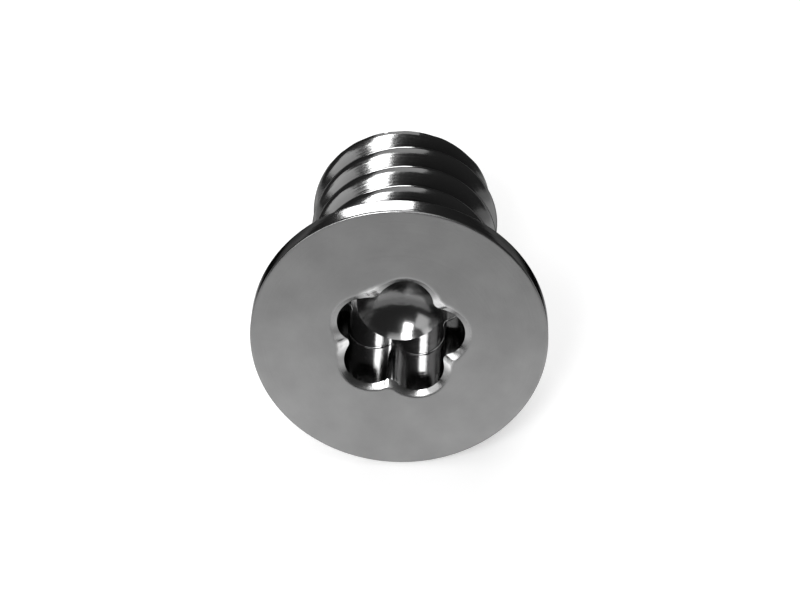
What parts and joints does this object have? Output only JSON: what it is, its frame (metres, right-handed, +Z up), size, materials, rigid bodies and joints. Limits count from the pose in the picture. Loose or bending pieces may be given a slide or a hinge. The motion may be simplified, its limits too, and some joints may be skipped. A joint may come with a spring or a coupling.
{
  "type": "pentalobe screw",
  "caption": "Short machine screw with a flat countersunk head and a five-lobed driver socket, lying on its side; it fastens thin covers to a threaded hole.",
  "frame": {"origin": "on the resting surface, below the middle of the screw's box", "axes": "+Z up, the face of the head towards -Y and leaning up, the tip towards +Y, +X to the right as seen from the face"},
  "size_m": [0.003, 0.0032, 0.003],
  "materials": {
    "steel": "fine turned steel, satin face and bright edges"
  },
  "bodies": {
    "root": {"screw": "steel"}
  },
  "joints": []
}
